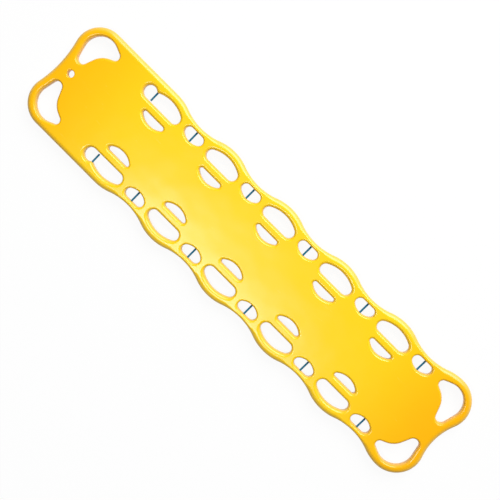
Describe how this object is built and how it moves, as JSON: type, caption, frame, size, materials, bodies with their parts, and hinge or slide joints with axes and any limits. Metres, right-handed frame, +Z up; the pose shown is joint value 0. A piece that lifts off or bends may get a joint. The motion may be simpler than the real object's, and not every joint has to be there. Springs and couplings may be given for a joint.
{
  "type": "spine board",
  "caption": "Long moulded spine board with wavy sides, hand holes, strap pin holes, inner slots and corner holes, on runners.",
  "frame": {"origin": "middle of the board's length and width, on the surface that its runners stand on", "axes": "+X towards the foot end, +Y towards the patient's left, +Z up out of the patient face"},
  "size_m": [1.8286, 0.412, 0.045],
  "materials": {
    "yellow_shell": "satin",
    "blue_pin": "satin",
    "foam": "matte"
  },
  "bodies": {
    "root": {"board_shell": "yellow_shell", "foam_core": "foam", "strap_pin_left_1": "blue_pin", "strap_pin_left_2": "blue_pin", "strap_pin_left_3": "blue_pin", "strap_pin_left_4": "blue_pin", "strap_pin_left_5": "blue_pin", "strap_pin_left_6": "blue_pin", "strap_pin_right_1": "blue_pin", "strap_pin_right_2": "blue_pin", "strap_pin_right_3": "blue_pin", "strap_pin_right_4": "blue_pin", "strap_pin_right_5": "blue_pin", "strap_pin_right_6": "blue_pin"}
  },
  "joints": []
}
